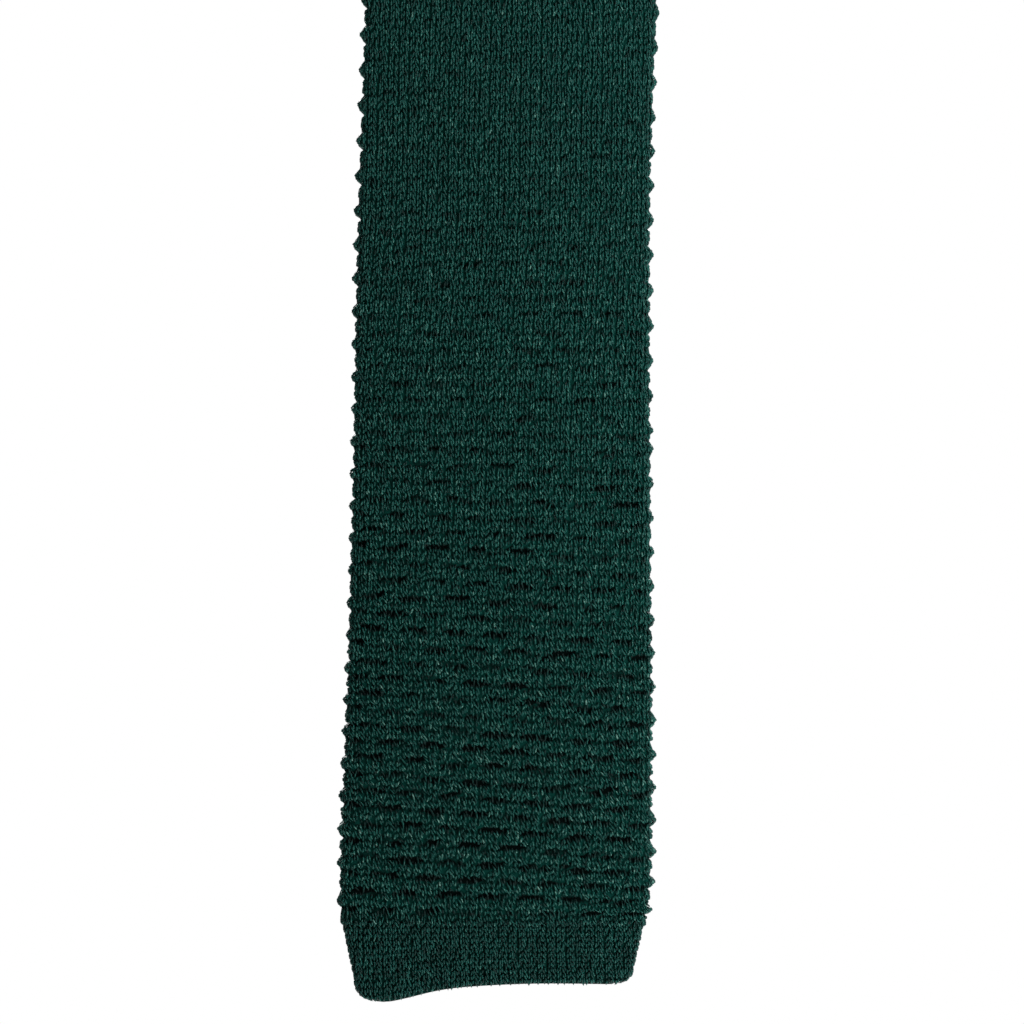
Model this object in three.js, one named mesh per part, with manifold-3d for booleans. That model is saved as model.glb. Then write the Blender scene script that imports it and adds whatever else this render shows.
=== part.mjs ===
// A knitted necktie, hung over a bar by its neck band.
//
// Millimetres, +Z up. The origin is the top of the bend on the inside, where the cloth sits on the bar.
// The front blade hangs at -Y and faces -Y, and +X is the right-hand side seen from the front.
// Every piece is a flat tube of knitted cloth: two layers joined at the folded side edges, open at both ends.
// Distances along the cloth start at the front tip, run up the front, over the bar and down to the rear tip.
import * as THREE from "three";
import { mergeVertices } from "three/addons/utils/BufferGeometryUtils.js";
import Module from "manifold-3d";

const wasm = await Module();
wasm.setup();

// Lengths along the cloth
const tieLength = 1450; // from tip to tip
const frontLength = 765; // from the front tip to the top of the bend
const frontHemLength = 16;
const frontBladeLength = 500;
const rearHemLength = 14;
const rearBladeLength = 400;
const seamGap = 0.3; // between a piece and the next

// Widths
const frontBladeWidth = 62.4;
const rearBladeWidth = 45;
const neckWidth = 30;
const hemCorner = 3.2; // radius of a tip's corners

// Cloth
const bladeWall = 1.8; // one layer of the rippled knit
const plainWall = 1.3; // one layer of the plain knit of the hems and the neck band
const layerGap = 0.6; // between the two layers
const cupDepth = 0.9; // how far a blade's side edges are set back from its middle

// Bend over the bar
const barRadius = 8;

// Ripples: cross ridges on the front blade. Each second ridge swells out at the side edges.
const firstRidge = 3.1; // from the hem
const ripplePitch = 3.2; // at the hem
const rippleStretch = 0.003; // each ripple's growth on its way up, from the cloth's own weight
const rippleCount = 57;
const rippleFade = 14; // number of ripples that die away at the top
const rippleHeight = 0.5;
const scallopDepth = 0.9;
const foldShiftRipple = 28; // above it the fold at the right lies one ridge further on

// Mesh
const faceColumns = 4; // strips across a face
const edgeSteps = 2; // steps in each quarter of a rounded side edge
const bendSteps = 14;
const ringStep = 25; // between the rings of a smooth stretch
const overrun = 1; // how far the space inside is drawn past a tube's ends

// The front blade from its hem up to the neck band. along is a share of the blade's length, and fullness runs from 1
// at the blade's width to 0 at the neck band's. sway and bow are shares of the blade's width, to the right and
// outwards, and tilt is the rise of the knitted rows per millimetre to the right.
const frontBladeForm = [
  { along: 0.0, fullness: 0.965, sway: -0.056, bow: 0.016, tilt: 0.0 },
  { along: 0.01, fullness: 0.985, sway: -0.052, bow: 0.012, tilt: -0.045 },
  { along: 0.03, fullness: 1.0, sway: -0.047, bow: 0.006, tilt: -0.068 },
  { along: 0.055, fullness: 0.985, sway: -0.042, bow: 0.0, tilt: -0.079 },
  { along: 0.09, fullness: 0.965, sway: -0.037, bow: -0.005, tilt: -0.064 },
  { along: 0.13, fullness: 0.937, sway: -0.033, bow: -0.009, tilt: -0.054 },
  { along: 0.17, fullness: 0.92, sway: -0.03, bow: -0.01, tilt: -0.036 },
  { along: 0.21, fullness: 0.902, sway: -0.028, bow: -0.01, tilt: -0.01 },
  { along: 0.25, fullness: 0.896, sway: -0.026, bow: -0.008, tilt: 0.014 },
  { along: 0.28, fullness: 0.888, sway: -0.023, bow: -0.006, tilt: 0.026 },
  { along: 0.33, fullness: 0.88, sway: -0.011, bow: -0.002, tilt: 0.018 },
  { along: 0.37, fullness: 0.885, sway: 0.0, bow: 0.004, tilt: 0.013 },
  { along: 0.45, fullness: 0.87, sway: 0.01, bow: 0.01, tilt: 0.006 },
  { along: 0.62, fullness: 0.78, sway: 0.012, bow: 0.014, tilt: 0.0 },
  { along: 0.78, fullness: 0.52, sway: 0.01, bow: 0.008, tilt: 0.0 },
  { along: 0.9, fullness: 0.17, sway: 0.004, bow: 0.002, tilt: 0.0 },
  { along: 1.0, fullness: 0.0, sway: 0.0, bow: 0.0, tilt: 0.0 },
];

// The rear blade in the same way, from its hem up.
const rearBladeForm = [
  { along: 0.0, fullness: 0.97, sway: 0.035, bow: 0.02, tilt: 0.03 },
  { along: 0.08, fullness: 1.0, sway: 0.03, bow: 0.01, tilt: 0.02 },
  { along: 0.25, fullness: 0.95, sway: 0.02, bow: -0.012, tilt: 0.0 },
  { along: 0.5, fullness: 0.82, sway: 0.01, bow: -0.006, tilt: 0.0 },
  { along: 0.75, fullness: 0.42, sway: 0.0, bow: 0.01, tilt: 0.0 },
  { along: 1.0, fullness: 0.0, sway: 0.0, bow: 0.0, tilt: 0.0 },
];

// A hem from its tip up. along is a share of the hem's length, and width and sway are shares of the blade's width.
const frontHemForm = [
  { along: 0.0, width: 0.885, sway: -0.052 },
  { along: 0.25, width: 0.895, sway: -0.053 },
  { along: 0.6, width: 0.93, sway: -0.054 },
  { along: 1.0, width: 0.968, sway: -0.056 },
];
const rearHemForm = [
  { along: 0.0, width: 0.89, sway: 0.04 },
  { along: 1.0, width: 0.955, sway: 0.035 },
];

// The lower edge of a tip. across runs from -1 at the left to 1 at the right, and rise is a share of the hem's length.
const frontTipEdge = [
  { across: -1.0, rise: 0.0 },
  { across: -0.85, rise: 0.0 },
  { across: -0.43, rise: 0.15 },
  { across: -0.08, rise: 0.205 },
  { across: 0.4, rise: 0.23 },
  { across: 1.0, rise: 0.212 },
];
const rearTipEdge = [
  { across: -1.0, rise: 0.0 },
  { across: 0.0, rise: 0.03 },
  { across: 1.0, rise: 0.13 },
];

const bladeThickness = 2 * bladeWall + layerGap;
const plainThickness = 2 * plainWall + layerGap;
const bendRadius = barRadius + plainThickness / 2; // of the middle of the cloth
const bendStart = frontLength - (Math.PI / 2) * bendRadius;
const bendEnd = bendStart + Math.PI * bendRadius;
const frontBladeEnd = frontHemLength + frontBladeLength;
const rearHemStart = tieLength - rearHemLength;
const rearBladeStart = rearHemStart - rearBladeLength;

// The middle of the cloth, and the way that its outer face looks, at a distance along it.
function clothAt(distance) {
  const past = distance - bendStart;
  const turn = THREE.MathUtils.clamp(past / bendRadius, 0, Math.PI);
  const normal = new THREE.Vector3(0, -Math.cos(turn), Math.sin(turn));
  const point = normal.clone().multiplyScalar(bendRadius);
  point.z -= barRadius + Math.abs(past - turn * bendRadius);
  return { point, normal };
}

// A smooth value of one column of a table, at a place along its key column.
function valueAt(rows, key, column, place) {
  const last = rows.length - 1;
  const at = THREE.MathUtils.clamp(place, rows[0][key], rows[last][key]);
  const i = Math.min(rows.findLastIndex((row) => row[key] <= at), last - 1);
  const slope = (j) => {
    const before = rows[Math.max(j - 1, 0)];
    const after = rows[Math.min(j + 1, last)];
    return (after[column] - before[column]) / (after[key] - before[key]);
  };
  const span = rows[i + 1][key] - rows[i][key];
  const t = (at - rows[i][key]) / span;
  const start = rows[i][column] * (1 + 2 * t) * (1 - t) ** 2 + slope(i) * span * t * (1 - t) ** 2;
  const end = rows[i + 1][column] * t * t * (3 - 2 * t) + slope(i + 1) * span * t * t * (t - 1);
  return start + end;
}

// The closed outline of the cloth across its length, drawn in by inset on all sides. It runs from the left edge over
// the outer face to the right edge, and back over the inner face.
function outline(section, inset) {
  const half = section.thickness / 2 - inset;
  const turned = Array.from({ length: edgeSteps }, (_, i) => (Math.PI / 2) * (i / edgeSteps));
  const edge = turned.map((angle) => ({
    back: inset + half * (1 - Math.cos(angle)),
    high: half * Math.sin(angle),
  }));
  const face = Array.from({ length: faceColumns + 1 }, (_, i) => ({
    x: THREE.MathUtils.lerp(inset + half - section.left, section.right - inset - half, i / faceColumns),
    high: half,
  }));
  const outer = [
    ...edge.map(({ back, high }) => ({ x: back - section.left, high })),
    ...face,
    ...edge.map(({ back, high }) => ({ x: section.right - back, high })).reverse(),
  ];
  const inner = outer.slice(1, -1).reverse().map(({ x, high }) => ({ x, high: -high }));
  return [...outer, ...inner].map(({ x, high }) => {
    const across = x / (x < 0 ? section.left : section.right);
    const { point, normal } = clothAt(section.distance + section.facing * section.rise(x, across));
    point.addScaledVector(normal, high + section.bow - section.cup * across ** 2);
    point.x += section.sway + x;
    return point;
  });
}

// A closed solid through the outlines of the sections, which run from the front tip towards the rear one.
function loft(sections, inset) {
  const rings = sections.map((section) => outline(section, inset));
  const count = rings[0].length;
  const last = (rings.length - 1) * count;
  const index = [];
  for (let ring = 0; ring < last; ring += count)
    for (let i = 0; i < count; i++) {
      const next = (i + 1) % count;
      index.push(ring + i, ring + next, ring + count + next);
      index.push(ring + i, ring + count + next, ring + count + i);
    }
  const triangles = [];
  for (let i = 0; i < count / 2; i++) {
    const across = (count - i) % count;
    triangles.push([i, count - i - 1, i + 1], [i, across, count - i - 1]);
  }
  for (const [a, b, c] of triangles.filter((corners) => new Set(corners).size === 3))
    index.push(a, b, c, last + a, last + c, last + b);
  const geometry = new THREE.BufferGeometry().setFromPoints(rings.flat());
  geometry.setIndex(index);
  return solidOf(geometry);
}

function solidOf(geometry) {
  const merged = mergeVertices(geometry);
  return new wasm.Manifold(
    new wasm.Mesh({
      numProp: 3,
      vertProperties: merged.attributes.position.array,
      triVerts: new Uint32Array(merged.index.array),
    }),
  );
}

function geometryOf(solid) {
  const { vertProperties, triVerts } = solid.getMesh();
  const geometry = new THREE.BufferGeometry();
  geometry.setAttribute("position", new THREE.BufferAttribute(vertProperties, 3));
  geometry.setIndex(new THREE.BufferAttribute(triVerts, 1));
  geometry.computeVertexNormals();
  return geometry;
}

// Even places from start to end, both included, no further apart than step.
function placesBetween(start, end, step) {
  const count = Math.ceil(Math.abs(end - start) / step);
  return Array.from({ length: count + 1 }, (_, i) => THREE.MathUtils.lerp(start, end, i / count));
}

// A tube of cloth through the sections, with the space between its layers cut right through it.
function tube(name, sections, pocketSections, wall, material) {
  const outside = loft(sections, 0);
  const inside = loft(pocketSections, wall);
  const mesh = new THREE.Mesh(geometryOf(outside.subtract(inside)), material);
  mesh.name = name;
  return mesh;
}

// A blade's section at a height above its hem. facing is 1 where heights and distances grow together.
function bladeSection(form, length, width, hem, facing, above) {
  const along = above / length;
  const fullness = valueAt(form, "along", "fullness", along);
  const tilt = valueAt(form, "along", "tilt", along);
  const half = THREE.MathUtils.lerp(neckWidth, width, fullness) / 2;
  return {
    distance: hem + facing * above,
    facing,
    left: half,
    right: half,
    thickness: bladeThickness,
    sway: width * valueAt(form, "along", "sway", along),
    bow: width * valueAt(form, "along", "bow", along),
    cup: cupDepth * fullness,
    rise: (x) => tilt * x,
  };
}

// A hem's section at a height above its tip, with rounded corners and the lower edge of the table edge.
function hemSection(form, edge, blade, length, width, tip, facing, above) {
  const height = THREE.MathUtils.clamp(above, 0, length);
  const along = height / length;
  const fromCorner = Math.max(hemCorner - height, 0);
  const cut = hemCorner - Math.sqrt(hemCorner ** 2 - fromCorner ** 2);
  const half = (width * valueAt(form, "along", "width", along)) / 2 - cut;
  return {
    ...blade,
    distance: tip + facing * above,
    left: half,
    right: half,
    thickness: plainThickness,
    sway: width * valueAt(form, "along", "sway", along),
    rise: (x, across) =>
      THREE.MathUtils.lerp(length * valueAt(edge, "across", "rise", across), blade.rise(x), along),
  };
}

// Heights in a hem, close together at its rounded corners.
function hemHeights(length) {
  const corner = [0, 0.08, 0.3, 0.62].map((share) => share * hemCorner);
  return [...corner, ...placesBetween(hemCorner, length, hemCorner)];
}

const rippledKnit = new THREE.MeshStandardMaterial({ name: "rippled_knit", color: "#12332f", roughness: 0.92 });
const plainKnit = new THREE.MeshStandardMaterial({ name: "plain_knit", color: "#143530", roughness: 0.9 });

// Front blade
function frontBladeSection(above) {
  return bladeSection(frontBladeForm, frontBladeLength, frontBladeWidth, frontHemLength, 1, above);
}

// The height of a ridge above the hem. Whole numbers are ridges and halves are the grooves between them.
function ridgeHeight(ripple) {
  return firstRidge + ripple * (ripplePitch + rippleStretch * ripple);
}

function rippledSection(ripple) {
  const section = frontBladeSection(Math.max(ridgeHeight(ripple), seamGap));
  const fade = 1 - THREE.MathUtils.smoothstep(ripple, rippleCount - rippleFade, rippleCount);
  const swell = (scallopDepth / 2) * Math.cos(Math.PI * ripple) * fade * (ripple % 1 === 0 ? 1 : 0);
  return {
    ...section,
    left: section.left + swell,
    right: section.right + (ripple < foldShiftRipple ? swell : -swell),
    thickness: bladeThickness + (rippleHeight / 2) * Math.cos(2 * Math.PI * ripple) * fade,
  };
}

const ripples = placesBetween(-1, rippleCount, 0.5);
const smoothHeights = placesBetween(ridgeHeight(rippleCount), frontBladeLength, ringStep).slice(1);
const frontPocketHeights = placesBetween(-overrun, frontBladeLength + overrun, ringStep);
const frontBlade = tube(
  "front_blade",
  [...ripples.map(rippledSection), ...smoothHeights.map(frontBladeSection)],
  frontPocketHeights.map(frontBladeSection),
  bladeWall,
  rippledKnit,
);

// Front hem
function frontHemSection(above) {
  return hemSection(frontHemForm, frontTipEdge, frontBladeSection(0), frontHemLength, frontBladeWidth, 0, 1, above);
}
const frontHemHeights = hemHeights(frontHemLength);
const frontHem = tube(
  "front_hem",
  frontHemHeights.map(frontHemSection),
  [-5, ...frontHemHeights, frontHemLength + overrun].map(frontHemSection),
  plainWall,
  plainKnit,
);

// Neck band
function neckSection(distance) {
  return {
    distance,
    facing: 1,
    left: neckWidth / 2,
    right: neckWidth / 2,
    thickness: plainThickness,
    sway: 0,
    bow: 0,
    cup: 0,
    rise: () => 0,
  };
}
const neckStart = frontBladeEnd + seamGap;
const neckEnd = rearBladeStart - seamGap;
const neckPlaces = [
  ...placesBetween(neckStart, bendStart, 2 * ringStep),
  ...placesBetween(bendStart, bendEnd, (Math.PI * bendRadius) / bendSteps).slice(1, -1),
  ...placesBetween(bendEnd, neckEnd, 2 * ringStep),
];
const neckBand = tube(
  "neck_band",
  neckPlaces.map(neckSection),
  [neckStart - overrun, ...neckPlaces, neckEnd + overrun].map(neckSection),
  plainWall,
  plainKnit,
);

// Rear blade
function rearBladeSection(above) {
  return bladeSection(rearBladeForm, rearBladeLength, rearBladeWidth, rearHemStart, -1, above);
}
const rearBlade = tube(
  "rear_blade",
  placesBetween(rearBladeLength, seamGap, ringStep).map(rearBladeSection),
  placesBetween(rearBladeLength + overrun, -overrun, ringStep).map(rearBladeSection),
  bladeWall,
  rippledKnit,
);

// Rear hem
function rearHemSection(above) {
  return hemSection(
    rearHemForm, rearTipEdge, rearBladeSection(0), rearHemLength, rearBladeWidth, tieLength, -1, above,
  );
}
const rearHemHeights = hemHeights(rearHemLength).reverse();
const rearHem = tube(
  "rear_hem",
  rearHemHeights.map(rearHemSection),
  [rearHemLength + overrun, ...rearHemHeights, -5].map(rearHemSection),
  plainWall,
  plainKnit,
);

export default new THREE.Group().add(frontBlade, frontHem, neckBand, rearBlade, rearHem);
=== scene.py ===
import math
import bmesh
import bpy
import numpy as np
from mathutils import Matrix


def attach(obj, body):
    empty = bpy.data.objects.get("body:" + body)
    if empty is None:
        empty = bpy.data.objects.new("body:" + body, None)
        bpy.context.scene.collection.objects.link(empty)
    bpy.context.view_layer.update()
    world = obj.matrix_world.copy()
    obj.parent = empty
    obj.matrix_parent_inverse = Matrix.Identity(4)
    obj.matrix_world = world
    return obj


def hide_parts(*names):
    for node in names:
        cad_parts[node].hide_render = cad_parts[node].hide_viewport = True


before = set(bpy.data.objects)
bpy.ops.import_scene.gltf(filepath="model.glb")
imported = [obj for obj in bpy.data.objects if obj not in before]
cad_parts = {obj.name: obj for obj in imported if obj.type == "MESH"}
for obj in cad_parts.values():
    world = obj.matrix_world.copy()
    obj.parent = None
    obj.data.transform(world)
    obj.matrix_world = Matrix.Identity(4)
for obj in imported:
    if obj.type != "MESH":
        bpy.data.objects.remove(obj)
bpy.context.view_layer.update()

# A knitted wool necktie, hung over a bar by its neck band. Sizes are in millimetres and follow the solids.
# Distances along the cloth start at the front tip, run up the front, over the bar and down to the rear tip.
mm = 0.001
chance = np.random.default_rng(20)

tie = {
    "length": 1450,
    "front": 765,  # from the front tip to the top of the bend
    "frontHem": 16,
    "frontBlade": 500,
    "rearBlade": 400,
    "rearHem": 14,
    "frontWidth": 62.4,
    "rearWidth": 45,
    "neckWidth": 30,
    "bladeThick": 4.2,
    "plainThick": 3.2,
    "barRadius": 8,
    "cup": 0.9,  # how far a blade's side edges are set back
    "corner": 3.2,  # radius of a tip's corners
}
bendRadius = tie["barRadius"] + tie["plainThick"] / 2
bendStart = tie["front"] - math.pi / 2 * bendRadius


# Camera: the photograph's frame is 204.8 mm wide at the blade
shot = {"right": 0.3, "aboveTip": 97.6, "width": 204.8, "distance": 450, "sensor": 36}

camera = bpy.data.cameras.new("camera")
camera.sensor_width = shot["sensor"]
camera.lens = shot["sensor"] * shot["distance"] / shot["width"]
cameraObject = bpy.data.objects.new("camera", camera)
cameraObject.location = (
    shot["right"] * mm,
    (-bendRadius - shot["distance"]) * mm,
    (-tie["barRadius"] - bendStart + shot["aboveTip"]) * mm,
)
cameraObject.rotation_euler = (math.pi / 2, 0, 0)
bpy.context.collection.objects.link(cameraObject)
bpy.context.scene.camera = cameraObject


# Tables of form, as shares along a piece and of its width, like those of the solids. "facing" is the way
# up the piece along the tie, "tone" lightens its yarn, "hollow" lightens the painted shade of the cloth under
# the yarn and darkens it below 0, "lively" says how uneven the stitches are, and "wale" is the width of a
# column of stitches.
frontBlade = {
    "start": tie["frontHem"], "facing": 1, "length": tie["frontBlade"], "width": tie["frontWidth"],
    "tucked": True, "tone": 0,
    "along": [
        0, 0.01, 0.03, 0.055, 0.09, 0.13, 0.17, 0.21, 0.25, 0.28, 0.33, 0.37, 0.45, 0.62, 0.78, 0.9, 1,
    ],
    "fullness": [
        0.965, 0.985, 1, 0.985, 0.965, 0.937, 0.92, 0.902, 0.894,
        0.883, 0.874, 0.878, 0.863, 0.78, 0.52, 0.17, 0,
    ],
    "sway": [
        -0.056, -0.052, -0.047, -0.042, -0.037, -0.033, -0.03, -0.028, -0.026,
        -0.023, -0.011, 0, 0.01, 0.012, 0.01, 0.004, 0,
    ],
    "bow": [
        0.016, 0.012, 0.006, 0, -0.005, -0.009, -0.01, -0.01, -0.008,
        -0.006, -0.002, 0.004, 0.01, 0.014, 0.008, 0.002, 0,
    ],
    "tilt": [
        0, -0.045, -0.068, -0.079, -0.064, -0.054, -0.036, -0.01, 0.014,
        0.026, 0.018, 0.013, 0.006, 0, 0, 0, 0,
    ],
    "relief": [
        0.9, 1, 1, 1, 0.9, 0.75, 0.58, 0.45, 0.36, 0.3, 0.22, 0.18, 0.18, 0.18, 0.18, 0.18, 0.18,
    ],
    "scallop": [
        0.6, 0.8, 0.8, 0.8, 0.75, 0.7, 0.8, 0.9, 1.1, 1.2, 1.1, 1.1, 1, 0.9, 0.8, 0.6, 0.4,
    ],
    "waleShift": [
        -0.016, -0.014, -0.01, -0.008, -0.01, -0.006, 0, 0.006, 0.022, 0.032, 0.026, 0.021, 0.015, 0, 0, 0, 0,
    ],
    "wale": [
        2.07, 2.08, 2.08, 2.08, 2.08, 2.09, 2.09, 2.08, 2.06, 2.04, 2.03, 2.02, 2.0, 2.0, 2.0, 2.0, 2.0,
    ],
}
ripples = {
    "first": 3.1,  # height of the lowest ridge above the hem
    "pitch": 3.2,
    "stretch": 0.003,  # how fast the pitch grows upwards, drawn out by the cloth's own weight
    "firstDash": 1.5,  # rows of dashes are counted from this far below the first ridge
    "foldShift": 28.5,  # above this ridge, an old fold has shifted the right edge's scallops by one
    "ridge": 0.1,
    "dash": 1.4,
    "narrow": 7,  # the higher, the thinner a dash
    "dashEnds": (0.12, 0.6),  # where a dash fades in and out along its row
    "dashReach": 0.2,  # courses nearer to a row of dashes than this share of the pitch belong to it
    "fadesAtSide": 0.6,
    "fade": (-1, 1.5),  # where that begins and ends, past the flat of the face
    "ends": 0.15,  # how far back the cloth lies at a seam
    "lowEnd": 2.5,
    "highEnd": 6,
    "crowding": 1.12,  # how much closer to a dash its neighbours lie
}
scallops = {
    "size": 0.8,  # how far the big ridges stand out at the side edges
    "height": 1.55,
    "round": 0.7,
    "even": 0.7,
    "uneven": 0.3,  # every ridge's scallop is fuller above than below
    "foot": 0.73,
    "leftTrim": -0.04,
    "rightTrim": 0.12,
    "rightAtTip": 1.35,  # the right edge's are bigger at the tip
    "rightFall": 1.7,
    "rightLeast": 0.5,
}
rearBlade = {
    "start": tie["length"] - tie["rearHem"], "facing": -1, "length": tie["rearBlade"],
    "width": tie["rearWidth"], "tucked": True, "tone": 0,
    "along": [0, 0.08, 0.25, 0.5, 0.75, 1],
    "fullness": [0.97, 1, 0.95, 0.82, 0.42, 0],
    "sway": [0.035, 0.03, 0.02, 0.01, 0, 0],
    "bow": [0.02, 0.01, -0.012, -0.006, 0.01, 0],
    "tilt": [0.03, 0.02, 0, 0, 0, 0],
    "relief": [1, 1, 0.9, 0.6, 0.4, 0.2],
    "scallop": [1, 1, 0.9, 0.6, 0.3, 0.1],
    "waleShift": [0, 0, 0, 0, 0, 0],
    "wale": [2.08, 2.08, 2.06, 2.03, 2.0, 2.0],
}
frontHem = {
    "start": 0, "facing": 1, "length": tie["frontHem"], "width": tie["frontWidth"], "tucked": False,
    "tone": -0.055, "lively": 0.6, "hollow": -0.25, "courses": 12, "wale": 1.92,
    "along": [0, 0.25, 0.6, 1],
    "breadth": [0.885, 0.895, 0.93, 0.968],
    "sway": [-0.052, -0.053, -0.054, -0.056],
    "across": [-1, -0.85, -0.43, -0.08, 0.4, 1],
    "rise": [0, 0, 0.15, 0.205, 0.23, 0.212],
}
rearHem = {
    "start": tie["length"], "facing": -1, "length": tie["rearHem"], "width": tie["rearWidth"],
    "tucked": False, "tone": -0.04, "lively": 0.5, "hollow": -0.2, "courses": 11, "wale": 1.96,
    "along": [0, 1],
    "breadth": [0.89, 0.955],
    "sway": [0.04, 0.035],
    "across": [-1, 0, 1],
    "rise": [0, 0.03, 0.13],
}
neckBand = {
    "start": tie["frontHem"] + tie["frontBlade"], "facing": 1,
    "length": tie["length"] - tie["frontHem"] - tie["frontBlade"] - tie["rearBlade"] - tie["rearHem"],
    "tucked": False, "tone": 0, "lively": 0.1, "hollow": 0, "courses": 416, "wale": 2.0,
}


# A smooth curve through the points of a table
def smoothAt(table, column, at, key="along"):
    keys, values = np.array(table[key], float), np.array(table[column], float)
    slopes = np.empty_like(values)
    slopes[1:-1] = (values[2:] - values[:-2]) / (keys[2:] - keys[:-2])
    slopes[0] = (values[1] - values[0]) / (keys[1] - keys[0])
    slopes[-1] = (values[-1] - values[-2]) / (keys[-1] - keys[-2])
    at = np.clip(at, keys[0], keys[-1])
    i = np.clip(np.searchsorted(keys, at, side="right") - 1, 0, len(keys) - 2)
    span = keys[i + 1] - keys[i]
    t = (at - keys[i]) / span
    start = values[i] * (1 + 2 * t) * (1 - t) ** 2 + slopes[i] * span * t * (1 - t) ** 2
    end = values[i + 1] * t * t * (3 - 2 * t) + slopes[i + 1] * span * t * t * (t - 1)
    return start + end


def ease(low, high, value):
    t = np.clip((value - low) / (high - low), 0, 1)
    return t * t * (3 - 2 * t)


# Number of ridges above the hem. Whole numbers are ridges and halves are the rows of dashes between them.
def ridgeAt(above):
    pitch, stretch = ripples["pitch"], ripples["stretch"]
    fromFirst = above - ripples["first"]
    return (np.sqrt(pitch**2 + 4 * stretch * fromFirst) - pitch) / (2 * stretch)


def heightOfRidge(ridge):
    return ripples["first"] + ridge * (ripples["pitch"] + ripples["stretch"] * ridge)


def scallopAt(ridge):
    wave = np.cos(math.pi * ridge)
    fuller = scallops["even"] + scallops["uneven"] * wave
    return scallops["height"] * np.abs(wave) ** scallops["round"] * fuller - scallops["foot"]


# Size and place of the flat tube at a height above the part's start
def bladeSection(blade, above):
    along = above / blade["length"]
    fullness = smoothAt(blade, "fullness", along)
    half = (tie["neckWidth"] + (blade["width"] - tie["neckWidth"]) * fullness) / 2
    ridge = ridgeAt(above)
    swell = scallops["size"] * smoothAt(blade, "scallop", along)
    folded = ease(-0.5, 0.5, ridge - ripples["foldShift"]) if blade is frontBlade else 0
    more = np.maximum(scallops["rightAtTip"] - scallops["rightFall"] * along, scallops["rightLeast"])
    tilt = smoothAt(blade, "tilt", along)
    return {
        "left": half + scallops["leftTrim"] + swell * scallopAt(ridge),
        "right": half + scallops["rightTrim"] + swell * more * scallopAt(ridge + folded),
        "thick": np.full_like(half, tie["bladeThick"]),
        "sway": blade["width"] * smoothAt(blade, "sway", along),
        "bow": blade["width"] * smoothAt(blade, "bow", along),
        "cup": tie["cup"] * fullness,
        "rise": lambda x, across: tilt * x,
    }


def hemSection(hem, blade, above):
    height = np.clip(above, 0, hem["length"])
    along = height / hem["length"]
    body = bladeSection(blade, np.zeros_like(along))
    corner = tie["corner"]
    fromCorner = np.maximum(corner - height, 0)
    cut = corner - np.sqrt(corner**2 - fromCorner**2)
    half = hem["width"] * smoothAt(hem, "breadth", along) / 2 - cut

    def rise(x, across):
        edge = hem["length"] * smoothAt(hem, "rise", across, key="across")
        return edge + (body["rise"](x, across) - edge) * along

    return {
        **body,
        "left": half,
        "right": half,
        "thick": np.full_like(half, tie["plainThick"]),
        "sway": hem["width"] * smoothAt(hem, "sway", along),
        "rise": rise,
    }


def neckSection(above):
    same = np.zeros_like(above)
    half = same + tie["neckWidth"] / 2
    return {
        "left": half, "right": half, "thick": same + tie["plainThick"],
        "sway": same, "bow": same, "cup": same, "rise": lambda x, across: same,
    }


# Relief of the tuck pattern: a dash is two stitches wide, and the rows of dashes are staggered like bricks.
# The cloth swells into a ridge between two rows of dashes, and falls back at each dash and at its two ends.
dashRows, dashColumns, waleColumns = 160, 40, 80
dashDepths = chance.uniform(0.5, 1.15, (dashRows, dashColumns))
dashShifts = chance.uniform(-0.26, 0.1, (dashRows, waleColumns))


def reliefOf(blade, above, wale, past):
    row = ridgeAt(above) + ripples["firstDash"]
    dashRow = np.round(row).astype(int)
    depth = dashDepths[dashRow % dashRows, np.round(wale / 4 - 0.5 * (dashRow % 2)).astype(int) % dashColumns]
    before = np.floor(wale).astype(int)
    left, right = (dashShifts[dashRow % dashRows, w % waleColumns] for w in (before, before + 1))
    shift = left + (right - left) * (wale - before)
    trough = (0.5 + 0.5 * np.cos(2 * math.pi * (row + shift))) ** ripples["narrow"]
    brick = 0.5 + 0.5 * np.cos(math.pi * wale / 2) * np.cos(math.pi * dashRow)  # 1 at a dash, 0 between two
    share = depth * ease(*ripples["dashEnds"], brick)
    faded = 1 - ripples["fadesAtSide"] * ease(*ripples["fade"], past)
    deep = smoothAt(blade, "relief", above / blade["length"]) * faded
    ridge = ripples["ridge"] * np.cos(2 * math.pi * (row - 0.5))
    ends = 1 - ease(0, ripples["lowEnd"], above) * ease(0, ripples["highEnd"], blade["length"] - above)
    return deep * (ridge - ripples["dash"] * trough * share) * (1 - ends) - ripples["ends"] * ends


frontBlade["section"] = lambda above: bladeSection(frontBlade, above)
rearBlade["section"] = lambda above: bladeSection(rearBlade, above)
frontHem["section"] = lambda above: hemSection(frontHem, frontBlade, above)
rearHem["section"] = lambda above: hemSection(rearHem, rearBlade, above)
neckBand["section"] = neckSection


# The point at a height above the part's start, a distance around its section from the middle of the outer
# face, and a lift off the surface
def pointOn(part, above, around, lift):
    above, around, lift = np.broadcast_arrays(above, around, lift)
    section = part["section"](above)
    side, reach = np.sign(around), np.abs(around)
    half = np.where(around < 0, section["left"], section["right"])
    radius = section["thick"] / 2
    flat = half - radius
    turn = np.clip((reach - flat) / radius, 0, math.pi)
    beyond = np.maximum(reach - flat - math.pi * radius, 0)
    x = side * (np.minimum(reach, flat) + (radius + lift) * np.sin(turn) - beyond)
    high = (radius + lift) * np.cos(turn)
    across = x / half
    distance = part["start"] + part["facing"] * (above + section["rise"](x, across))
    past = distance - bendStart
    bend = np.clip(past / bendRadius, 0, math.pi)
    normalY, normalZ = -np.cos(bend), np.sin(bend)
    out = bendRadius + high + section["bow"] - section["cup"] * across**2
    drop = tie["barRadius"] + np.abs(past - bend * bendRadius)
    return np.stack([section["sway"] + x, normalY * out, normalZ * out - drop], axis=-1) * mm


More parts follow.
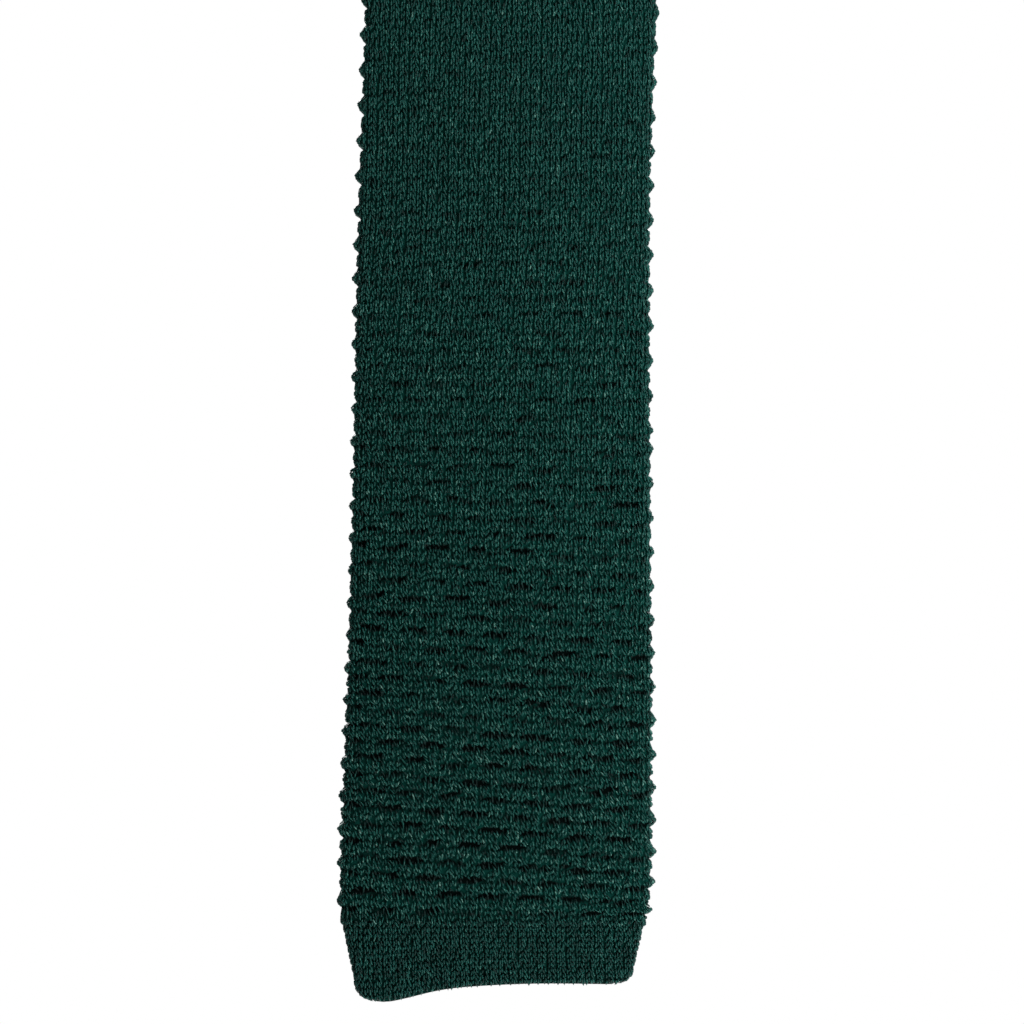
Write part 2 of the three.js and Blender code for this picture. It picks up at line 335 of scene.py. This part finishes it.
# A wale is a column of stitches, and a course is a row of them
def waleWidth(part, above):
    if part["tucked"]:
        return smoothAt(part, "wale", above / part["length"])
    return np.full_like(above, part["wale"], dtype=float)


def waleShift(part, above):
    return part["width"] * smoothAt(part, "waleShift", above / part["length"]) if part["tucked"] else 0


def waleAt(part, above, around):
    return (around - waleShift(part, above)) / waleWidth(part, above)


coursesPerDash = 3


def courseAt(part, above):
    if part["tucked"]:
        return coursesPerDash * (ridgeAt(above) + ripples["firstDash"])
    return above / part["length"] * part["courses"]


# How far round the side from the flat of the outer face. Negative is on the outer face.
def pastFlat(part, above, around):
    section = part["section"](above)
    return np.abs(around) + section["thick"] / 2 - np.where(around < 0, section["left"], section["right"])


print("camera and form ready")


# Materials
def linear(hexColour):
    parts = [int(hexColour[i:i + 2], 16) / 255 for i in (1, 3, 5)]
    return [p / 12.92 if p <= 0.04045 else ((p + 0.055) / 1.055) ** 2.4 for p in parts] + [1]


def addNode(tree, kind, inputs=None, **settings):
    new = tree.nodes.new(kind)
    for name, value in settings.items():
        setattr(new, name, value)
    for name, value in (inputs or {}).items():
        if isinstance(value, bpy.types.NodeSocket):
            tree.links.new(value, new.inputs[name])
        else:
            new.inputs[name].default_value = value
    return new


def setRamp(ramp, stops):
    elements = ramp.color_ramp.elements
    for i, (position, colour) in enumerate(stops):
        element = elements[i] if i < 2 else elements.new(position)
        element.position = position
        element.color = linear(colour)


wool = {
    # The lightest yarn colour below is partly paler fibres and partly painted highlight, for the glints on
    # the yarn
    "deep": "#021b18", "shade": "#093a35", "light": "#184f47", "paleFibreAndHighlight": "#62857b",
    # The cloth's colours below are painted shade between the yarns: nearly black in the slits, dark green
    # elsewhere, and darker in the gaps of the flat knit
    "slitShade": "#000605", "inside": "#04302a", "gapShade": "#032420",
    "specular": 0.16, "roughness": 0.38,
    "plyBump": 0.06 * mm, "fibreBump": 0.05 * mm, "faceBump": 0.4 * mm,
    "streaks": (5, 1.3, 1),  # five round the yarn, each about 1.1 mm long
    "fibres": 6000,  # to the metre: fibres about 0.2 mm apart, drawn coarser than wool's so that they show
    "tufts": 1500,  # to the metre: tufts about 0.7 mm apart
    "slope": 0.9,  # courses that a leg of a chevron rises for each wale, outwards
    "mottle": 1100,  # to the metre: patches of about half a stitch, 0.9 mm
}


# Lambswool yarn, two-ply and dyed bottle green: matt, softly mottled, with the plies just showing, and light
# flecks that are partly paler fibres and partly painted highlight
def makeYarn():
    material = bpy.data.materials.new("lambswool_yarn")
    material.use_nodes = True
    tree = material.node_tree
    tree.nodes.clear()
    place = addNode(tree, "ShaderNodeTexCoord").outputs
    tone = addNode(tree, "ShaderNodeAttribute", attribute_name="tone").outputs["Fac"]
    drawnOut = addNode(tree, "ShaderNodeMapping", {"Vector": place["UV"], "Scale": wool["streaks"]})
    fibres = addNode(tree, "ShaderNodeTexNoise", {"Vector": drawnOut.outputs[0], "Scale": 1.0, "Detail": 2.0})
    mixed = addNode(tree, "ShaderNodeMath", {0: fibres.outputs["Fac"], 1: tone}, operation="ADD")
    ramp = addNode(tree, "ShaderNodeValToRGB", {"Fac": mixed.outputs[0]})
    # The tone attribute carries painted shade down towards the deep stop; the lightest stop is partly paler
    # fibres and partly painted highlight
    setRamp(ramp, [(0.32, wool["deep"]), (0.8, wool["paleFibreAndHighlight"]), (0.5, wool["shade"]), (0.66, wool["light"])])
    # The plies' bands are 0.9 mm apart along the yarn
    ply = addNode(tree, "ShaderNodeTexWave", {
        "Vector": place["UV"], "Scale": 1.0, "Distortion": 1.5, "Detail": 1.0,
    }, bands_direction="DIAGONAL")
    plyBump = addNode(tree, "ShaderNodeBump", {
        "Height": ply.outputs["Fac"], "Strength": 0.6, "Distance": wool["plyBump"],
    })
    fibre = addNode(tree, "ShaderNodeTexNoise", {
        "Vector": place["Object"], "Scale": wool["fibres"], "Detail": 1.0,
    })
    bump = addNode(tree, "ShaderNodeBump", {
        "Height": fibre.outputs["Fac"], "Strength": 0.5, "Distance": wool["fibreBump"],
        "Normal": plyBump.outputs[0],
    })
    shader = addNode(tree, "ShaderNodeBsdfPrincipled", {
        "Base Color": ramp.outputs["Color"], "Roughness": wool["roughness"],
        "Specular IOR Level": wool["specular"], "Normal": bump.outputs[0],
    })
    addNode(tree, "ShaderNodeOutputMaterial", {"Surface": shader.outputs[0]})
    return material


# The inside of the same knit, seen between the yarns, coloured with painted shade: dark green, and nearly
# black in the slits
def makeGround():
    material = bpy.data.materials.new("knitted_wool_ground_painted_shade")
    material.use_nodes = True
    tree = material.node_tree
    tree.nodes.clear()
    place = addNode(tree, "ShaderNodeTexCoord").outputs
    tufts = addNode(tree, "ShaderNodeTexNoise", {
        "Vector": place["Object"], "Scale": wool["tufts"], "Detail": 2.0,
    })
    depth = addNode(tree, "ShaderNodeAttribute", attribute_name="depth").outputs["Fac"]
    # Painted shade: the deeper the cloth lies, the darker it is, down to nearly black in the slits
    mixed = addNode(tree, "ShaderNodeMath", {0: tufts.outputs["Fac"], 1: depth}, operation="ADD")
    ramp = addNode(tree, "ShaderNodeValToRGB", {"Fac": mixed.outputs[0]})
    setRamp(ramp, [(0.05, wool["slitShade"]), (0.52, wool["inside"])])
    shader = addNode(tree, "ShaderNodeBsdfPrincipled", {
        "Base Color": ramp.outputs["Color"], "Roughness": 0.9, "Specular IOR Level": 0.05,
    })
    addNode(tree, "ShaderNodeOutputMaterial", {"Surface": shader.outputs[0]})
    return material


# The same knit seen flat, where no single stitches stand on it: chevrons in columns, one to a wale and
# course, with painted shade darkening the gaps between them
def makeKnitFace():
    material = bpy.data.materials.new("knitted_wool_face")
    material.use_nodes = True
    tree = material.node_tree
    tree.nodes.clear()
    place = addNode(tree, "ShaderNodeTexCoord").outputs
    knit = addNode(tree, "ShaderNodeSeparateXYZ", {"Vector": place["UV"]}).outputs
    inWale = addNode(tree, "ShaderNodeMath", {0: knit["X"]}, operation="FRACT").outputs[0]
    offset = addNode(tree, "ShaderNodeMath", {0: inWale, 1: 0.5}, operation="SUBTRACT").outputs[0]
    fromMiddle = addNode(tree, "ShaderNodeMath", {0: offset}, operation="ABSOLUTE").outputs[0]
    lean = addNode(tree, "ShaderNodeMath", {0: fromMiddle, 1: -wool["slope"]}, operation="MULTIPLY")
    chevron = addNode(tree, "ShaderNodeMath", {0: lean.outputs[0], 1: knit["Y"]}, operation="ADD").outputs[0]
    turn = addNode(tree, "ShaderNodeMath", {0: chevron, 1: 2 * math.pi}, operation="MULTIPLY")
    wave = addNode(tree, "ShaderNodeMath", {0: turn.outputs[0]}, operation="COSINE").outputs[0]
    leg = addNode(tree, "ShaderNodeMath", {0: wave, 1: 0.5, 2: 0.5}, operation="MULTIPLY_ADD").outputs[0]
    acrossWale = addNode(tree, "ShaderNodeMath", {0: fromMiddle, 1: 2 * math.pi}, operation="MULTIPLY")
    column = addNode(tree, "ShaderNodeMath", {0: acrossWale.outputs[0]}, operation="SINE").outputs[0]
    raised = addNode(tree, "ShaderNodeMath", {0: leg, 1: 0.6, 2: 0.4}, operation="MULTIPLY_ADD").outputs[0]
    height = addNode(tree, "ShaderNodeMath", {0: raised, 1: column}, operation="MULTIPLY").outputs[0]
    mottle = addNode(tree, "ShaderNodeTexNoise", {
        "Vector": place["Object"], "Scale": wool["mottle"], "Detail": 2.0,
    })
    mottled = addNode(tree, "ShaderNodeMath", {0: mottle.outputs["Fac"], 1: 0.5}, operation="ADD").outputs[0]
    toned = addNode(tree, "ShaderNodeMath", {0: height, 1: mottled}, operation="MULTIPLY").outputs[0]
    ramp = addNode(tree, "ShaderNodeValToRGB", {"Fac": toned})
    # Painted shade: the lowest parts of the chevrons, in the gaps, take the darkest colour
    setRamp(ramp, [(0.1, wool["gapShade"]), (0.9, wool["light"]), (0.5, wool["shade"])])
    bump = addNode(tree, "ShaderNodeBump", {"Height": height, "Strength": 1.0, "Distance": wool["faceBump"]})
    shader = addNode(tree, "ShaderNodeBsdfPrincipled", {
        "Base Color": ramp.outputs["Color"], "Roughness": 0.8,
        "Specular IOR Level": 0.08, "Normal": bump.outputs[0],
    })
    addNode(tree, "ShaderNodeOutputMaterial", {"Surface": shader.outputs[0]})
    return material


yarn = makeYarn()
ground = makeGround()
knitFace = makeKnitFace()
print("materials ready")


# Cloth: a flat tube with walls, which the stitches lie on. Its bare faces show the knit by their material.
cloth = {
    "inset": 0.55,  # how far under the solid's surface it lies
    "wall": 0.8,
    "deepest": 0.6,  # it follows the dashes no deeper than this
    "seam": 0.1,  # from the end of a part
    "bareFrom": 1.6,  # its material shows the knit from this far under the last stitches
}


def makeCloth(name, node, part, low, high, columns, rows, bareAt):
    sheet = bmesh.new()  # a grid from -1 to 1 each way, wrapped round the tube
    bmesh.ops.create_grid(sheet, x_segments=columns, y_segments=rows, size=1)
    sheet.verts.index_update()
    side, height = (np.array([v.co[i] for v in sheet.verts]) for i in (0, 1))
    above = low + (high - low) * (height + 1) / 2
    section = part["section"](above)
    half = np.where(side < 0, section["left"], section["right"])
    around = side * (2 * half - section["thick"] + math.pi * section["thick"] / 2)
    wales, courses, past = waleAt(part, above, around), courseAt(part, above), pastFlat(part, above, around)
    relief = reliefOf(part, above, wales, past) if part["tucked"] else np.zeros_like(above)
    lift = np.maximum(relief, -cloth["deepest"]) - cloth["inset"]
    bare = bareAt(above, past)
    knit = sheet.loops.layers.uv.new("knit")
    depth = sheet.verts.layers.float.new("depth")
    for face in sheet.faces:
        face.smooth = True
        face.material_index = int(all(bare[v.index] for v in face.verts))
        for loop in face.loops:
            loop[knit].uv = (wales[loop.vert.index], courses[loop.vert.index])
    for vertex, point, fallen in zip(sheet.verts, pointOn(part, above, around, lift), relief):
        vertex.co = point
        # The depth attribute sets the cloth's painted shade: from the relief where tucked, and from the
        # part's hollow elsewhere
        vertex[depth] = fallen if part["tucked"] else part["hollow"]
    bmesh.ops.remove_doubles(sheet, verts=sheet.verts, dist=0.00001)
    if part["facing"] < 0:
        bmesh.ops.reverse_faces(sheet, faces=sheet.faces)
    mesh = bpy.data.meshes.new(name)
    sheet.to_mesh(mesh)
    sheet.free()
    mesh.materials.append(ground)
    mesh.materials.append(knitFace)
    piece = bpy.data.objects.new(name, mesh)
    bpy.context.collection.objects.link(piece)
    solidify = piece.modifiers.new("wall", "SOLIDIFY")
    solidify.thickness = cloth["wall"] * mm
    solidify.offset = -1
    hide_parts(node)
    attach(piece, "root")
    return piece


sideReach = 7.2  # the outer face's stitches go this far round each side
neckReach = 5.2
backHeight = 92  # this part of the front blade has stitches on its back too


def bareSides(above, past):
    return past > sideReach - cloth["bareFrom"]


def bareBack(above, past):
    return bareSides(above, past) & (above > backHeight - 1)


def bareNeck(above, past):
    return past > neckReach - cloth["bareFrom"]


def bareNowhere(above, past):
    return np.zeros_like(above, dtype=bool)


seam = cloth["seam"]
frontCloth = makeCloth("front_blade_cloth", "front_blade", frontBlade, seam, frontBlade["length"] - seam,
                       columns=64, rows=500, bareAt=bareBack)
frontHemCloth = makeCloth("front_hem_cloth", "front_hem", frontHem, 0, frontHem["length"],
                          columns=64, rows=20, bareAt=bareNowhere)
neckCloth = makeCloth("neck_band_cloth", "neck_band", neckBand, seam, neckBand["length"] - seam,
                      columns=48, rows=200, bareAt=bareNeck)
rearCloth = makeCloth("rear_blade_cloth", "rear_blade", rearBlade, seam, rearBlade["length"] - seam,
                      columns=48, rows=376, bareAt=bareSides)
rearHemCloth = makeCloth("rear_hem_cloth", "rear_hem", rearHem, 0, rearHem["length"],
                         columns=48, rows=18, bareAt=bareSides)
print("cloth ready")


# Stitches: each is a V of two legs of yarn. In the photograph's view each leg shows the yarn's two plies.
stitch = {
    "length": 1.62,  # of the course's height, where the cloth hangs smooth
    "bunched": 0.55,  # how much shorter the legs are where the relief is strongest
    "overDash": 1.7,  # how many courses the long stitch over a dash spans
    "top": 0.34,  # a leg's top from the middle of its wale, as a share of the wale
    "depth": 0.7,
    "sunk": 0.3,  # of a leg's middle below the solid's surface
    "lean": 0.2,  # how much lower a leg's top lies than its bottom
    "arch": 0.12,
    "twist": 1.4,  # length of yarn for one pattern of its twist
    "shade": 0.42,  # painted shade: how much darker the yarn is for each millimetre that it lies back
    "glow": 0.04,
    "calm": 0.4,  # how lively the stitches are where the blade has no relief
    "calmWidth": 0.24,  # calm yarn is this much wider
    "slantGain": 1.6,
    "glowGain": 1.5,
    "toneGain": 2.5,
    "overlap": 0.8,  # past the low end of a blade, and past the middle of a back
    "highOverlap": 0.2,
    "neckOverlap": 1,
    "seat": 0.7,  # height of a plain stitch's middle in its course
}
uneven = {  # spread of what differs from leg to leg, or from ply to ply
    "place": 0.065, "length": 0.06, "plyLength": 0.1, "lean": 0.2,
    "slant": 0.8, "width": 0.1, "lift": 0.05, "tone": 0.02,
}
twoPly = {
    "plies": 2, "width": 0.46, "bottom": 0.2, "apart": 0.38, "stagger": 0.3, "slant": 0.38, "length": 0.86,
}
onePly = {"plies": 1, "width": 0.76, "bottom": 0.13, "apart": 0, "stagger": 0, "slant": 0, "length": 1}
fullPly = {**onePly, "width": 0.94, "length": 1.14}  # covers as much with fewer faces


# One strand of yarn: a lens standing on its end
def strandShape(sides, rings):
    strand = bmesh.new()
    bmesh.ops.create_uvsphere(strand, u_segments=sides, v_segments=rings, radius=1)
    bmesh.ops.triangulate(strand, faces=strand.faces)
    strand.verts.index_update()
    points = np.array([v.co for v in strand.verts])
    faces = np.array([[v.index for v in f.verts] for f in strand.faces])
    strand.free()
    breadth = np.hypot(points[:, 0], points[:, 1])
    fuller = np.where(breadth > 0.01, np.maximum(breadth, 0.01) ** -0.4, 1)  # than a lens
    points[:, :2] *= fuller[:, None]
    return points, faces


# All strands of a part as one mesh. A stitch's place gives its height, wale, pitch and the courses it spans.
def makeStitches(name, part, places, shape, ply):
    points, faces = shape
    repeats = 2 * ply["plies"]
    above, wale, pitch, spans = (np.repeat(v, repeats)[:, None] for v in np.broadcast_arrays(*places))
    count = len(above)

    def byLeg(what):
        return chance.normal(0, uneven[what], (count // ply["plies"], 1)).repeat(ply["plies"], axis=0)

    def byPly(what):
        return chance.normal(0, uneven[what], (count, 1))

    side = np.tile(np.repeat([-1.0, 1.0], ply["plies"]), count // repeats)[:, None]
    which = np.tile([-0.5, 0.5] if ply["plies"] == 2 else [0.0], count // ply["plies"])[:, None]
    if part["tucked"]:  # lively is 1 where the stitches are at their most uneven
        lively = stitch["calm"] + (1 - stitch["calm"]) * smoothAt(part, "relief", above / part["length"])
    else:
        lively = part["lively"]
    length = pitch * (spans - 1 + stitch["length"] - stitch["bunched"] * lively) * (1 + byLeg("length"))
    end = points[None, :, 2]  # -1 at the bottom of a strand and 1 at its top
    along = end * ply["length"] * (1 + byPly("plyLength")) + 2 * which * ply["stagger"]  # -1 to 1 on the leg
    up = above + along * length / 2 + byLeg("place") * (1 + lively)
    wide = waleWidth(part, up)
    inner, outer = ply["bottom"], stitch["top"]
    fromMiddle = (inner + outer) / 2 + (outer - inner) / 2 * along * (1 + byLeg("lean") * (0.5 + lively))
    around = (wale + side * fromMiddle) * wide + waleShift(part, up) + byLeg("place") * (1 + lively)
    slant = 1 - stitch["slantGain"] * (1 - lively) + byPly("slant") * lively
    around = around + which * ply["apart"] - end * ply["slant"] / 2 * slant
    width = 1 + stitch["calmWidth"] * (1 - lively) + byPly("width")
    around = around + points[None, :, 0] * ply["width"] / 2 * width
    lift = -stitch["sunk"] - stitch["lean"] * along / 2 + stitch["arch"] * (1 - along**2)
    if part["tucked"]:
        lift = lift + reliefOf(part, up, waleAt(part, up, around), pastFlat(part, up, around))
    hollow = np.minimum(lift + stitch["sunk"] - stitch["arch"], 0)
    lift = lift + points[None, :, 1] * stitch["depth"] / 2 + byPly("lift")
    if part["facing"] > 0:
        faces = faces[:, ::-1]  # up, across and out turn the other way here
    allFaces = (faces[None] + (np.arange(count) * len(points))[:, None, None]).reshape(-1, 3)
    mesh = bpy.data.meshes.new(name)
    mesh.vertices.add(count * len(points))
    mesh.vertices.foreach_set("co", pointOn(part, up, around, lift).ravel())
    mesh.loops.add(allFaces.size)
    mesh.loops.foreach_set("vertex_index", allFaces.ravel().astype(np.int32))
    mesh.polygons.add(len(allFaces))
    mesh.polygons.foreach_set("loop_start", np.arange(len(allFaces), dtype=np.int32) * 3)
    mesh.polygons.foreach_set("use_smooth", np.ones(len(allFaces), bool))
    mesh.update()
    tone = mesh.attributes.new("tone", "FLOAT", "POINT")
    glow = stitch["glow"] * (1 - stitch["glowGain"] * (1 - lively))
    # The yarn's tone: the part's own, random from ply to ply, raised where lively, and darkened as painted
    # shade where the yarn lies back
    tones = part["tone"] + glow + byPly("tone") * (1 + stitch["toneGain"] * lively) + stitch["shade"] * hollow
    tone.data.foreach_set("value", tones.ravel().astype(np.float32))
    roundYarn = np.broadcast_to(np.arctan2(points[:, 0], points[:, 1]) / (2 * math.pi), (count, len(points)))
    otherPlace = chance.uniform(0, 40, (count, 1))  # no two strands show the same stretch of yarn
    alongYarn = along * length / stitch["twist"] + otherPlace
    twist = np.stack([roundYarn, alongYarn], axis=-1).reshape(-1, 2)
    mesh.uv_layers.new(name="yarn").data.foreach_set("uv", twist[allFaces.ravel()].ravel().astype(np.float32))
    mesh.materials.append(yarn)
    piece = bpy.data.objects.new(name, mesh)
    bpy.context.collection.objects.link(piece)
    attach(piece, "root")
    print(name, count, "strands", len(allFaces), "triangles")
    return piece


waleNumbers = np.arange(-34, 34)  # from the outer face's middle, and enough to reach round the front blade
everywhere = 99  # farther round than any part reaches


# From the flat of the outer face round to the middle of the back, and a little past it
def backMiddle(section):
    return section["left"] + (math.pi - 1) / 2 * section["thick"] + stitch["overlap"]


# Places of the stitches in the tuck pattern. At a dash, one long stitch stands over two courses.
def tuckPlaces(part, low, high, inner, outer):
    first, last = (math.ceil(courseAt(part, h) - 0.5) for h in (low, high))
    course, wale = (grid.ravel() for grid in np.meshgrid(np.arange(first, last), waleNumbers, indexing="ij"))
    row = (course + 0.5) / coursesPerDash
    dashRow = np.round(row).astype(int)
    evenDash = np.isin(wale % 4, (3, 0))  # these wales have their dashes on the even rows
    nearDash = np.abs(row - dashRow) < ripples["dashReach"]
    dashed = nearDash & (evenDash == (dashRow % 2 == 0)) & (dashRow > 0)
    keep = ~(dashed & (row > dashRow))
    # The middle of the four stitches between two dashes of a wale
    between = np.where(evenDash, 2 * np.floor(row / 2) + 1, 2 * np.floor((row + 1) / 2))
    row = np.where(dashed, dashRow, between + (row - between) * ripples["crowding"])
    ridge = row - ripples["firstDash"]
    above = heightOfRidge(ridge)
    pitch = (ripples["pitch"] + 2 * ripples["stretch"] * ridge) / coursesPerDash
    pitch = pitch * np.where(dashed, 1, ripples["crowding"])
    middle = wale + 0.5
    past = pastFlat(part, above, middle * waleWidth(part, above) + waleShift(part, above))
    keep &= (past > inner) & (past < np.minimum(outer, backMiddle(part["section"](above))))
    return above[keep], middle[keep], pitch[keep], np.where(dashed, stitch["overDash"], 1)[keep]


def plainPlaces(part, low, high, outer):
    pitch = part["length"] / part["courses"]
    heights = (np.arange(round(low / pitch), round(high / pitch)) + stitch["seat"]) * pitch
    above, middle = (grid.ravel() for grid in np.meshgrid(heights, waleNumbers + 0.5, indexing="ij"))
    past = pastFlat(part, above, middle * part["wale"])
    keep = past < np.minimum(outer, backMiddle(part["section"](above)))
    return above[keep], middle[keep], pitch, 1


near, far = strandShape(sides=4, rings=3), strandShape(sides=4, rings=2)
bladeLow, bladeMiddle = -stitch["overlap"], 96
bladeHigh = 196  # two plies end here, a little above the photograph's upper edge
frontTop = frontBlade["length"] + stitch["highOverlap"]
rearTop = rearBlade["length"] + stitch["highOverlap"]
for zone, low, high, inner, outer, shape, ply in (
    ("low", bladeLow, bladeMiddle, -everywhere, sideReach, near, twoPly),
    ("middle", bladeMiddle, bladeHigh, -everywhere, sideReach, near, twoPly),
    ("high", bladeHigh, frontTop, -everywhere, sideReach, far, fullPly),
    ("back", bladeLow, backHeight, sideReach, everywhere, far, fullPly),
):
    places = tuckPlaces(frontBlade, low, high, inner, outer)
    piece = makeStitches("front_blade_stitches_" + zone, frontBlade, places, shape, ply)
places = plainPlaces(frontHem, 0, frontHem["length"], everywhere)
hemStitches = makeStitches("front_hem_stitches", frontHem, places, near, twoPly)
neckOverlap = stitch["neckOverlap"]
places = plainPlaces(neckBand, -neckOverlap, neckBand["length"] + neckOverlap, neckReach)
neckStitches = makeStitches("neck_band_stitches", neckBand, places, far, onePly)
places = tuckPlaces(rearBlade, bladeLow, rearTop, -everywhere, sideReach)
rearStitches = makeStitches("rear_blade_stitches", rearBlade, places, far, onePly)
places = plainPlaces(rearHem, 0, rearHem["length"], everywhere)
rearHemStitches = makeStitches("rear_hem_stitches", rearHem, places, near, onePly)


# Each part's section at sixty heights along it, which is worked out and not kept
def declareSheet(part):
    section = part["section"](np.linspace(0, part["length"], 60))


declareSheet(frontBlade)
declareSheet(frontHem)
declareSheet(neckBand)
declareSheet(rearBlade)
declareSheet(rearHem)
print("stitches ready")


# Studio: a pale floor well below the tip, soft light from above and the right, and a white surround
studio = {"floor": -1.0, "floorRadius": 1.0, "surround": 0.16}
floorMesh = bmesh.new()
bmesh.ops.create_circle(floorMesh, cap_ends=True, segments=96, radius=studio["floorRadius"])
bmesh.ops.translate(floorMesh, verts=floorMesh.verts, vec=(0, 0, studio["floor"]))
floorData = bpy.data.meshes.new("floor")
floorMesh.to_mesh(floorData)
floorMesh.free()
floor = bpy.data.objects.new("floor", floorData)
bpy.context.collection.objects.link(floor)
floorPaint = bpy.data.materials.new("matt_white_floor")
floorPaint.use_nodes = True
floorShader = floorPaint.node_tree.nodes["Principled BSDF"]
floorShader.inputs["Base Color"].default_value = linear("#f2f2f0")
floorShader.inputs["Roughness"].default_value = 0.9
floorData.materials.append(floorPaint)


def addLight(name, place, aim, width, height, power):
    data = bpy.data.lights.new(name, "AREA")
    data.shape = "RECTANGLE"
    data.size = width
    data.size_y = height
    data.energy = power
    lamp = bpy.data.objects.new(name, data)
    lamp.location = place
    lamp.visible_camera = False
    toward = np.array(aim) - np.array(place)
    tip = math.acos(-toward[2] / np.linalg.norm(toward))
    lamp.rotation_euler = (tip, 0, math.atan2(-toward[0], toward[1]))
    bpy.context.collection.objects.link(lamp)


addLight("key", place=(0.5, -1.2, 0.8), aim=(0, 0, -0.6), width=0.5, height=0.5, power=7)
addLight("strip", place=(0.11, -0.12, -0.4), aim=(0, 0, -0.4), width=0.04, height=1.5, power=1.75)
addLight("back", place=(0, 1.3, 0.3), aim=(0, 0, -0.45), width=2.4, height=0.8, power=85)

world = bpy.data.worlds.new("surround")
bpy.context.scene.world = world
world.use_nodes = True
tree = world.node_tree
tree.nodes.clear()
seen = addNode(tree, "ShaderNodeLightPath").outputs["Is Camera Ray"]
strength = addNode(tree, "ShaderNodeMapRange", {"Value": seen, "To Min": studio["surround"], "To Max": 1.0})
surround = addNode(tree, "ShaderNodeBackground", {"Color": (1, 1, 1, 1), "Strength": strength.outputs[0]})
addNode(tree, "ShaderNodeOutputWorld", {"Surface": surround.outputs[0]})
bpy.context.scene.view_settings.view_transform = "Standard"
print("studio ready")
